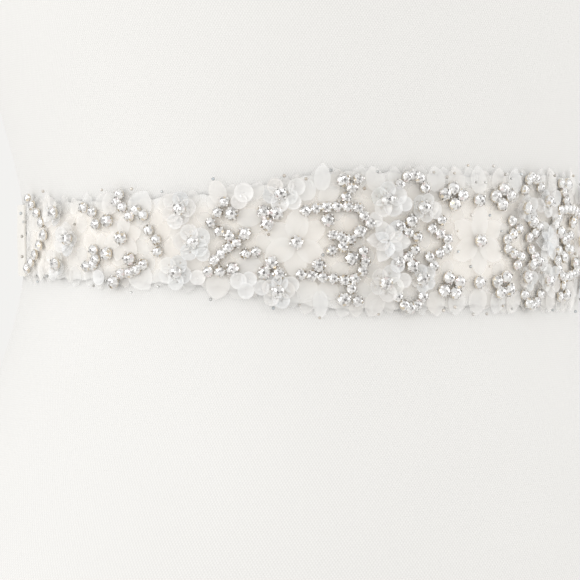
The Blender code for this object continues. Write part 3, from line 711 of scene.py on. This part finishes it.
def add_stone(stones, settings, u, v, radius, height):
    """A round stone with a facetted crown, held by claws in a shallow cup."""
    turn = rng.uniform(0, math.pi)
    tilt = rng.uniform(0.0, 0.16)
    way = rng.uniform(-math.pi, math.pi)
    faces, tones = stone_facets()
    stones.add(placed(stone_points(radius), u, v, height, turn, tilt, way), faces, tones)

    cup = np.vstack([ring_points(ring, radius, CUP_SIDES) for ring in CUP_RINGS])
    faces = grid_faces(len(CUP_RINGS), CUP_SIDES, closed=True)
    # The cup is painted tan all over, a painted shade round the stone.
    settings.add_plain(placed(cup, u, v, height, turn, tilt, way), faces, PAINTED_TAN_SHADE)

    claw_turn = rng.uniform(0, math.pi / 2)
    for i in range(CLAWS):
        claw = placed(CLAW_POINTS * radius, 0, 0, 0, claw_turn + i * 2 * math.pi / CLAWS)
        settings.add_plain(placed(claw, u, v, height, 0.0, tilt, way), CLAW_FACES, CLAW_TONE)


# Petals, sequins and seed beads

FROST = (0.935, 0.920, 0.900)
FROST_WHITE = (0.95, 0.938, 0.922)
PEARL = (0.93, 0.93, 0.93)
PEARL_WHITE = (0.97, 0.97, 0.97)
SEED_GREY = (0.58, 0.57, 0.55)
LIGHTEST = 0.97
DARKEST = 0.02
DISC_RINGS = 5
SEED_RINGS = 5
SEED_SIDES = 8


def varied(tone, spread):
    """The tone, a little lighter or darker and a little warmer or cooler."""
    light = rng.uniform(-spread, spread)
    warm = rng.uniform(-spread, spread) / 2
    shifted = [t + light + w for t, w in zip(tone, (warm, 0.0, -warm))]
    return tuple(min(LIGHTEST, max(DARKEST, t)) for t in shifted)


def petal(length, width, cup, groove, inner=0.0, along=9, across=7, point=0.9, curl=0.0):
    """One thin skin from the origin along +x, cupped across, with a groove down its middle."""
    s = np.linspace(0.0, 1.0, along)[:, None]
    t = np.linspace(-1.0, 1.0, across)[None, :]
    half = 0.5 * width * np.sin(np.pi * np.clip(0.05 + 0.93 * s**point, 0, 1)) ** 0.5
    x = inner + length * s - 0.05 * length * (t**2) * s
    y = half * t
    z = cup * (t**2) * (half / (0.5 * width)) - groove * (1 - np.abs(t)) * np.sin(np.pi * s)
    points = np.stack([x, y, z + curl * s**2], axis=-1)
    return points.reshape(-1, 3), turned_over(grid_faces(along, across))


def disc(radius, depth, segments=16, hole=0.12, flute=0.0):
    """One thin round cup, whose rim stands depth above its middle."""
    angles = 2 * math.pi * np.arange(segments) / segments
    points = []
    for r in np.linspace(hole, 1.0, DISC_RINGS):
        away = radius * r * (1 + flute * np.cos(angles * 5) * r)
        height = np.full(segments, depth * r**2)
        points.append(np.stack([away * np.cos(angles), away * np.sin(angles), height], axis=1))
    return np.vstack(points), grid_faces(DISC_RINGS, segments, closed=True)


def add_disc(pearls, points, faces, tone):
    """Adds a cup with a painted highlight: its rim is painted brighter than its inner rings."""
    segments = len(faces) // (DISC_RINGS - 1)
    # Inner rings are painted darker than the rim: painted shade inside, and a painted highlight at
    # the rim.
    inside = tuple(0.93 * part for part in tone)
    pearls.add(points, faces, [inside] * (len(faces) - segments) + [tone] * segments)


def petal_angle(flower, i, jitter):
    """The way that petal i of a flower points, give or take the jitter."""
    return math.radians(flower.angle) + 2 * math.pi * i / flower.petals + rng.uniform(-jitter, jitter)


def add_leaf_flower(frosted, flower):
    """Large frosted petals round a stone, every other one a little higher."""
    for i in range(flower.petals):
        angle = petal_angle(flower, i, 0.09)
        length = flower.radius * rng.uniform(0.84, 0.95)
        width = flower.radius * rng.uniform(0.60, 0.70)
        inner = 0.10 * flower.radius
        points, faces = petal(length, width, cup=0.25, groove=0.2, inner=inner, curl=0.3)
        points = placed(points, flower.u, flower.v, PETAL_HEIGHT + 0.25 * (i % 2), angle)
        frosted.add_plain(points, faces, varied(FROST, 0.02))


def add_leaf(frosted, leaf):
    """A frosted petal by itself, tilted down towards the skin near the panel's edge."""
    points, faces = petal(leaf.length, leaf.width, cup=0.25, groove=0.2)
    points[:, 0] -= leaf.length / 2
    angle = math.radians(leaf.angle + rng.uniform(-6, 6))
    height = LEAF_HEIGHT + rng.uniform(0.0, 0.3)
    if abs(leaf.v) > EDGE_LEAF_FROM:
        tilt = EDGE_TILT + rng.uniform(-0.03, 0.03)
    else:
        tilt = rng.uniform(0.0, 0.06)
    points = placed(points, leaf.u, leaf.v, height, angle, tilt, math.radians(leaf.angle))
    frosted.add_plain(points, faces, varied(FROST_WHITE, 0.03))


def add_cup_flower(pearls, flower):
    """Round cup petals about the stone, each leaning out and lapping its neighbour."""
    for i in range(flower.petals):
        angle = petal_angle(flower, i, 0.12)
        radius = flower.radius * rng.uniform(0.44, 0.52)
        points, faces = disc(radius, 0.55 * radius, flute=0.02)
        away = flower.radius * 0.55
        u = flower.u + away * math.cos(angle)
        v = flower.v + away * math.sin(angle)
        tilt = rng.uniform(0.06, 0.24)
        spin = rng.uniform(0, 3)
        points = placed(points, u, v, CUP_HEIGHT + 0.3 * (i % 2), spin, -tilt, angle)
        add_disc(pearls, points, faces, varied(PEARL, 0.05))


def add_crystal_flower(pearls, flower):
    """A larger flower of curled clear petals in two layers."""
    for layer in range(2):
        length = flower.radius * (0.95 - 0.30 * layer)
        curl = 1.0 - 0.5 * layer
        for i in range(flower.petals):
            angle = 2 * math.pi * (i + 0.5 * layer) / flower.petals + rng.uniform(-0.1, 0.1)
            points, faces = petal(
                length, 0.72 * length, cup=1.2, groove=0.1, inner=0.3, point=0.95, curl=curl)
            points = placed(points, flower.u, flower.v, CRYSTAL_HEIGHT + 0.8 * layer, angle)
            pearls.add_plain(points, faces, varied(PEARL, 0.05))


def add_sequin(pearls, sequin):
    """A cup sequin by itself, leaning any way."""
    points, faces = disc(sequin.radius, 0.42 * sequin.radius, segments=18, hole=0.05)
    tilt = rng.uniform(0.05, 0.35)
    way = rng.uniform(-3, 3)
    points = placed(points, sequin.u, sequin.v, SEQUIN_HEIGHT, 0.0, tilt, way)
    # Sequins marked bright are painted whiter: a painted highlight for the ones that catch a glint.
    add_disc(pearls, points, faces, varied(PEARL_WHITE if sequin.bright else PEARL, 0.03))


def add_seed_bead(seeds, u, v):
    radius = rng.uniform(0.45, 0.62)
    leans = [math.pi * (i + 1) / (SEED_RINGS + 1) for i in range(SEED_RINGS)]
    rows = [circle(radius * math.sin(a), radius * (1 + math.cos(a)), SEED_SIDES) for a in leans]
    points = placed(np.vstack(rows), u, v, SEED_HEIGHT)
    seeds.add_plain(points, barrel_faces(SEED_RINGS, SEED_SIDES), varied(SEED_GREY, 0.1))


def mirrored(rows):
    """The charted rows, and a twin on the wearer's left of each that isn't on the centre line."""
    both = list(rows)
    for row in rows:
        if isinstance(row, Chain):
            both.append(row._replace(u0=-row.u0, u1=-row.u1, bulge=-row.bulge))
        elif row.u != 0.0:
            twin = row._replace(u=-row.u)
            if isinstance(row, (Flower, Leaf)):
                twin = twin._replace(angle=180 - row.angle)
            both.append(twin)
    return both


def chain_places(chain):
    """The stones of one chain, evenly along an arc that bulges to its left."""
    start = np.array([chain.u0, chain.v0])
    end = np.array([chain.u1, chain.v1])
    along = end - start
    sideways = np.array([-along[1], along[0]]) / np.linalg.norm(along)
    shares = np.linspace(0.0, 1.0, chain.stones)
    return [start + along * s + sideways * chain.bulge * 4 * s * (1 - s) for s in shares]


def add_ground_petals(ground):
    """Small petals on a loose grid fill the net between the flowers and lap its edge."""
    flowers = mirrored(FLOWERS)
    columns = int(2 * PANEL_HALF_LENGTH / GROUND_STEP)
    for i in range(columns + 1):
        column_u = -PANEL_HALF_LENGTH + 2 * PANEL_HALF_LENGTH * i / columns
        half = float(base_half(column_u)) - GROUND_INSET
        rows = round(2 * half / GROUND_STEP)
        for k in range(rows + 1):
            share = 2 * k / rows - 1
            u = column_u + rng.uniform(-1.4, 1.4) + (0.5 * GROUND_STEP if k % 2 else 0.0)
            u = min(PANEL_HALF_LENGTH - 1.0, max(1.0 - PANEL_HALF_LENGTH, u))
            v = share * half + rng.uniform(-0.9, 0.9)
            length = rng.uniform(5.2, 7.0)
            angle = rng.uniform(-math.pi, math.pi)
            tilt = rng.uniform(0.0, 0.05)
            if abs(share) == 1:
                angle = share * math.pi / 2 + rng.uniform(-0.5, 0.5)
                tilt += EDGE_TILT
            width = length * rng.uniform(0.72, 0.95)
            height = GROUND_HEIGHT + rng.uniform(0.0, 0.35)
            tone = varied(FROST, 0.035)
            if all(math.hypot(u - f.u, v - f.v) >= f.radius - 1.0 for f in flowers):
                points, faces = petal(length, width, cup=0.2, groove=0.1, along=7, across=5)
                points[:, 0] -= length / 2
                ground.add_plain(placed(points, u, v, height, angle, tilt, angle), faces, tone)


def build_beadwork():
    """Each kind of bead, stone and petal as one joined mesh over the net."""
    stones, settings, ground, frosted, pearls, seeds = (Beads() for _ in range(6))
    add_ground_petals(ground)
    for leaf in mirrored(LEAVES):
        add_leaf(frosted, leaf)
    for flower in mirrored(FLOWERS):
        if flower.kind == "leaf":
            add_leaf_flower(frosted, flower)
        elif flower.kind == "cup":
            add_cup_flower(pearls, flower)
        else:
            add_crystal_flower(pearls, flower)
        if flower.kind != "crystal":
            add_stone(stones, settings, flower.u, flower.v, STONE_RADIUS, FLOWER_STONE_HEIGHT)
    for sequin in mirrored(SEQUINS):
        add_sequin(pearls, sequin)
    for place in mirrored(STONES):
        add_stone(stones, settings, place.u, place.v, STONE_RADIUS, STONE_HEIGHT)
    for chain in mirrored(CHAINS):
        for u, v in chain_places(chain):
            add_stone(stones, settings, u, v, CHAIN_RADIUS, STONE_HEIGHT)
    for place in mirrored(SEED_BEADS):
        add_seed_bead(seeds, place.u, place.v)
    pieces = (
        stones.build("clear_stones", stone_material(), smooth=False),
        settings.build("claw_settings", silver_material(), smooth=False),
        ground.build("ground_petals", frosted_material("sheer_petal", GROUND_ALPHA)),
        frosted.build("frosted_petals", frosted_material("frosted_petal", FROST_ALPHA)),
        pearls.build("pearly_sequins", pearl_material()),
        seeds.build("seed_beads", silver_material()),
    )


# Cloth

TULLE_ALONG = 380
TULLE_ACROSS = 33
TULLE_SIDE_FADE = 0.22
TULLE_END_FADE = 12.0
SIDES = {-1: "right", 1: "left"}


def shell_object(name, outer, inner, material, cloth):
    """A thin wall between two grids of points, closed round its edge."""
    rows, columns = outer.shape[:2]
    count = rows * columns
    points = np.vstack([outer.reshape(-1, 3), inner.reshape(-1, 3)])
    front = grid_faces(rows, columns)
    back = turned_over([[i + count for i in face] for face in front])
    rim = list(range(columns))
    rim += [i * columns + columns - 1 for i in range(1, rows)]
    rim += [(rows - 1) * columns + i for i in range(columns - 2, -1, -1)]
    rim += [i * columns for i in range(rows - 2, 0, -1)]
    sides = [(b, a, a + count, b + count) for a, b in zip(rim, rim[1:] + rim[:1])]
    cloth = np.asarray(cloth, float).reshape(-1, 2)
    cloth = np.vstack([cloth, cloth])
    return add_object(name, points, front + back + sides, material, cloth=cloth)


def panel_edge(u, side):
    """Half height of the tulle, a shade inside the petals that lap its edge."""
    return base_half(u) - 0.4 + 0.35 * np.sin(u * 0.9 + side) + 0.2 * np.sin(u * 0.37)


def build_tulle():
    """The net under the beadwork, slightly puckered, in the jersey's tone at its edge."""
    us = np.linspace(-PANEL_HALF_LENGTH, PANEL_HALF_LENGTH, TULLE_ALONG)
    u, share = np.meshgrid(us, np.linspace(0.0, 1.0, TULLE_ACROSS), indexing="ij")
    low = -panel_edge(u, -1)
    high = panel_edge(u, 1)
    v = low + (high - low) * share
    pucker = 0.05 * np.sin(u * 1.3) * np.sin(v * 0.9) + 0.05 * np.sin(u * 0.41 + v * 0.53)
    shape = u.shape + (3,)
    outer = on_panel(np.stack([u, v, TULLE_OUT + TULLE_WALL + pucker], axis=-1).reshape(-1, 3))
    inner = on_panel(np.stack([u, v, TULLE_OUT + pucker], axis=-1).reshape(-1, 3))
    cloth = np.stack([u, v], axis=-1) * MM
    walls = (outer.reshape(shape), inner.reshape(shape))
    panel = shell_object("tulle_backing", *walls, tulle_material(), cloth)
    from_side = (0.5 - np.abs(share - 0.5)) / TULLE_SIDE_FADE
    from_end = (PANEL_HALF_LENGTH - np.abs(u)) / TULLE_END_FADE
    ivory = eased(np.minimum(from_side, from_end)).reshape(-1, 1)
    paint_corners(panel.data, np.tile(ivory, (2, 3))[corner_points(panel.data)])
    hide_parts("beaded_panel")
    tall = panel_edge(us, 1) + panel_edge(us, -1)


def lay_knit(mesh, turn, z):
    """The jersey's UV map: metres round the form and up it, closed at the centre front."""
    corners = corner_points(mesh)
    once_round = 2 * math.pi * JERSEY_MEAN_RADIUS
    along = turn[corners] * JERSEY_MEAN_RADIUS
    starts = np.empty(len(mesh.polygons), np.int32)
    mesh.polygons.foreach_get("loop_start", starts)
    for start in starts:
        quad = along[start : start + 4]
        if quad.max() - quad.min() > once_round / 2:
            quad[quad < once_round / 2] = once_round
    lay_cloth(mesh, np.stack([along, z[corners]], axis=1))


def build_form():
    """The dress form in its jersey cover, with slightly rounded ends."""
    from_ends = [ring.from_end for ring in EDGE_RINGS]
    insets = [ring.inset for ring in EDGE_RINGS]
    levels = np.concatenate([
        from_ends,
        np.linspace(EVEN_FROM, FORM_TOP - EVEN_FROM, JERSEY_LEVELS),
        [FORM_TOP - from_end for from_end in reversed(from_ends)],
    ])
    inset = np.array(insets + [0.0] * JERSEY_LEVELS + insets[::-1])
    turns = np.linspace(0, 2 * math.pi, JERSEY_AROUND, endpoint=False)
    turn, z = np.meshgrid(turns, levels)
    points = form_points(turn, z, -inset[:, None]).reshape(-1, 3)
    faces = turned_over(barrel_faces(len(levels), JERSEY_AROUND))
    jersey = add_object("jersey_form", points, faces, jersey_material())
    lay_knit(jersey.data, turn.ravel(), z.ravel())
    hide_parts("form_torso")


def build_ribbon(name, node, place, steps, columns, satin):
    """place(w, thick, i) gives the points over the ribbon's width at step i along it."""
    across = np.linspace(-1.0, 1.0, columns)
    outer = np.stack([place(across, RIBBON_WALL, i) for i in range(steps)])
    inner = np.stack([place(across, RIBBON_INSIDE, i) for i in range(steps)])
    run = lengths_along(outer[:, columns // 2])
    cloth = np.stack(np.meshgrid(run, across * RIBBON_WIDTH / 2, indexing="ij"), axis=-1)
    ribbon = shell_object(name, outer, inner, satin, cloth)
    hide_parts(node)
    steps_along = np.diff(outer, axis=0)[:, :-1]
    steps_across = np.diff(outer, axis=1)[:-1]
    area = float(np.linalg.norm(np.cross(steps_along, steps_across), axis=2).sum())
    flat = (RIBBON_WIDTH, float(run[-1]))
    area = min(area, 0.99 * flat[0] * flat[1])


def build_back_stretch(side, satin):
    """The ribbon from the panel's end to the knot, pleated where the knot gathers it."""
    start = PANEL_HALF_LENGTH * MM + SEAM_GAP
    stop = HALF_ROUND - KNOT_HALF_WIDTH - SEAM_GAP
    shares = np.linspace(0.0, 1.0, 70)

    def place(w, thick, i):
        share = shares[i]
        u = start + (stop - start) * share
        pinch = eased((share - PINCH_FROM) / (1 - PINCH_FROM))
        half = RIBBON_HALF + (RIBBON_PINCHED - RIBBON_HALF) * pinch
        pleat = PLEAT_RISE * pinch * (0.5 - 0.5 * np.cos(2 * math.pi * RIBBON_PLEATS * (w + 1) / 2))
        ease = BACK_EASE * np.sin(9 * share + 2.5 * w) * (1 - w * w)
        return band_points(side * u, w * half, thick + pleat + ease, RIBBON_REACH)

    word = SIDES[side]
    build_ribbon(f"satin_back_{word}", f"ribbon_back_{word}", place, len(shares), 33, satin)


def build_loop(side, satin):
    """A bow loop that leaves the knot, opens, turns at its end and comes back nearer the form."""
    root = KNOT_HALF_WIDTH + SEAM_GAP
    shares = np.linspace(0.0, 1.0, 91)
    swing = math.pi * (1 - shares)
    along = root + LOOP_REACH * (0.5 + 0.5 * np.cos(2 * swing - math.pi)) ** 0.8
    away = np.maximum(0.0, along - root) / LOOP_REACH
    belly = np.sin(math.pi * away / 1.25) ** 0.8
    upper = np.where(shares < 0.5, 1.0, -1.0)
    end_round = np.sqrt(np.maximum(0.0, 1 - away**6))
    out = LOOP_MIDDLE + upper * (LOOP_PARTING + LOOP_OPEN * belly * end_round * 0.95)
    out = np.where(away > 0.9995, LOOP_MIDDLE, out)
    half = LOOP_ROOT_HALF + (RIBBON_HALF - LOOP_ROOT_HALF) * eased(away / 0.45)
    drop = -LOOP_DROOP * (along - root) * eased(away)
    reach = LOOP_ROOT_REACH + (LOOP_END_REACH - LOOP_ROOT_REACH) * eased(away)
    run = np.gradient(np.stack([along, out], axis=1), axis=0)
    run /= np.linalg.norm(run, axis=1)[:, None]
    normal = np.stack([-run[:, 1], run[:, 0]], axis=1)

    def place(w, thick, i):
        fold = LOOP_FOLD * (1 - eased(away[i] / 0.8)) * np.cos(3 * math.pi * w) * upper[i]
        step = thick - RIBBON_WALL / 2 + LOOP_CUP * w * w + fold
        u = HALF_ROUND - side * (along[i] + normal[i, 0] * step)
        return band_points(u, drop[i] + w * half[i], out[i] + normal[i, 1] * step, reach[i])

    word = SIDES[side]
    build_ribbon(f"satin_loop_{word}", f"bow_loop_{word}", place, len(shares), 25, satin)


def hang_section(z):
    """Half width and depth of what a tail hangs over: the form's widest from z to the waist."""
    steps = np.linspace(z, WAIST_Z, 24)
    return form_half_width(steps).max(axis=0), form_back(steps).max(axis=0)


def build_tail(side, satin):
    """A bow tail that hangs from the knot over the form's back, widening and rippling."""
    top_z = WAIST_Z - KNOT_HALF_HEIGHT * math.cos(math.pi / KNOT_RINGS) - SEAM_GAP
    root_y = float(form_back(WAIST_Z)) + TAIL_ROOT_OUT
    shares = np.linspace(0.0, 1.0, 120)

    def place(w, thick, i):
        share = shares[i]
        half = TAIL_ROOT_HALF + (RIBBON_HALF - TAIL_ROOT_HALF) * eased(share * 1.9)
        middle = side * (TAIL_ROOT_HALF + SEAM_GAP + TAIL_SPREAD * eased(share * 1.6) * share**0.5)
        slant = TAIL_CUT * side * w * eased((share - 0.85) / 0.15)
        z = top_z + (TAIL_END_Z - top_z) * share - slant
        wide, deep = hang_section(z)
        x = -(middle + w * half)
        turn = np.arcsin(np.clip(x / wide, -1.0, 1.0))
        ripple = 0.5 - 0.5 * np.cos(math.pi * (1.5 * w + 1.7 * share))
        out = SKIN_GAP + TAIL_LIFT + TAIL_WAVE * eased(share * 1.4) * ripple
        normal = np.stack([np.sin(turn) / wide, np.cos(turn) / deep, 0 * turn], axis=-1)
        normal /= np.linalg.norm(normal, axis=-1)[:, None]
        laid = np.stack([x, deep * np.cos(turn), z], axis=-1) + normal * out[:, None]
        laid[:, 1] = np.maximum(laid[:, 1], root_y)
        return laid + normal * thick

    word = SIDES[side]
    build_ribbon(f"satin_tail_{word}", f"bow_tail_{word}", place, len(shares), 31, satin)


def build_knot(satin):
    """The knot's wrap, a closed barrel with creases drawn in from both sides."""
    rings = 49
    around = 64
    angle = 2 * math.pi * np.arange(around) / around
    wide = np.abs(np.cos(angle)) ** 0.7 * np.sign(np.cos(angle))
    deep = np.abs(np.sin(angle)) ** 0.7 * np.sign(np.sin(angle))
    rows = []
    for i in range(rings):
        tilt = math.pi * (1 / KNOT_RINGS + (1 - 2 / KNOT_RINGS) * i / (rings - 1))
        v = -KNOT_HALF_HEIGHT * math.cos(tilt)
        size = math.sin(tilt) ** 0.45
        crease = KNOT_CREASE * np.cos(11 * angle + 2.2 * v / KNOT_HALF_HEIGHT) * np.maximum(0.0, deep)
        x = KNOT_HALF_WIDTH * size * wide * 0.98
        out = KNOT_HALF_DEPTH * (1 + size * deep * (0.97 + crease)) * (0.92 + 0.08 * size)
        spot = form_points(math.pi, WAIST_Z + RIBBON_REACH, SKIN_GAP + out)
        rows.append(np.stack([-x, spot[:, 1], np.full(around, WAIST_Z + v)], axis=1))
    points = np.vstack(rows)
    wrap = np.tile(np.arange(around) / around * KNOT_WRAP, rings)
    cloth = np.stack([points[:, 2], wrap], axis=1)
    knot = add_object("satin_knot", points, barrel_faces(rings, around), satin, cloth=cloth)
    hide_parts("ribbon_knot")


# Light, floor and camera

CAMERA_TURN = math.radians(37.15)
CAMERA_AWAY = 0.85
CAMERA_LENS = 143.6
CAMERA_SENSOR = 36.0
CAMERA_YAW = 0.0063
CAMERA_PITCH = 0.0213
WORLD_STRENGTH = 0.895
WORLD_COLOUR = (1.0, 0.993, 0.975, 1.0)
FLOOR_COLOUR = (0.86, 0.85, 0.835, 1.0)
FLOOR_RADIUS = 1.25
FLOOR_STEPS = 96
Lamp = namedtuple("Lamp", "name x y z wide tall power")
LAMPS = (
    Lamp("key", -1.48, -0.18, 0.62, 2.0, 1.1, 7.6),
    Lamp("fill", 1.1, -0.92, 0.58, 1.5, 1.0, 3.95),
    Lamp("glint", -0.35, -1.1, 0.9, 0.06, 0.06, 0.6),
)


def build_camera():
    """A level close view of the waist from the front, on the wearer's right."""
    data = bpy.data.cameras.new("camera")
    data.lens = CAMERA_LENS
    data.sensor_width = CAMERA_SENSOR
    data.clip_start = 0.01
    camera = bpy.data.objects.new("camera", data)
    x = -CAMERA_AWAY * math.sin(CAMERA_TURN)
    y = -CAMERA_AWAY * math.cos(CAMERA_TURN)
    camera.location = (x, y, WAIST_Z)
    camera.rotation_euler = (math.pi / 2 - CAMERA_PITCH, 0.0, CAMERA_YAW - CAMERA_TURN)
    bpy.context.scene.collection.objects.link(camera)
    bpy.context.scene.camera = camera


def add_lamp(lamp):
    """A soft oblong light that faces the waist."""
    data = bpy.data.lights.new(lamp.name, "AREA")
    data.shape = "RECTANGLE"
    data.size = lamp.wide
    data.size_y = lamp.tall
    data.energy = lamp.power
    place = Vector((lamp.x, lamp.y, lamp.z))
    light = bpy.data.objects.new(lamp.name, data)
    light.location = place
    light.rotation_euler = (Vector((0.0, 0.0, WAIST_Z)) - place).to_track_quat("-Z", "Y").to_euler()
    bpy.context.scene.collection.objects.link(light)


def build_floor():
    """A pale round floor that ends before the lamps."""
    angles = [2 * math.pi * i / FLOOR_STEPS for i in range(FLOOR_STEPS)]
    points = [(FLOOR_RADIUS * math.cos(a), FLOOR_RADIUS * math.sin(a), 0.0) for a in angles]
    mesh = bpy.data.meshes.new("backdrop")
    mesh.from_pydata(points, [], [tuple(range(FLOOR_STEPS))])
    paint = Nodes("pale_backdrop")
    paint.set(Base_Color=FLOOR_COLOUR, Roughness=0.9, Specular_IOR_Level=0.1)
    mesh.materials.append(paint.material)
    backdrop = bpy.data.objects.new("backdrop", mesh)
    bpy.context.scene.collection.objects.link(backdrop)


def build_world():
    """An even white surround."""
    world = bpy.data.worlds.new("studio")
    world.use_nodes = True
    surround = world.node_tree.nodes["Background"]
    surround.inputs["Color"].default_value = WORLD_COLOUR
    surround.inputs["Strength"].default_value = WORLD_STRENGTH
    bpy.context.scene.world = world


def dress_cap():
    """The neck cap is the solid itself, painted."""
    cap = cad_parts["form_neck_cap"]
    cap.data.materials.clear()
    cap.data.materials.append(cap_material())


def main():
    scene = bpy.context.scene
    scene.view_settings.view_transform = "Standard"
    scene.view_settings.look = "None"
    build_camera()
    build_world()
    build_floor()
    build_form()
    build_tulle()
    build_beadwork()
    satin = satin_material()
    build_knot(satin)
    for side in SIDES:
        build_back_stretch(side, satin)
        build_loop(side, satin)
        build_tail(side, satin)
    dress_cap()
    for lamp in LAMPS:
        add_lamp(lamp)


main()
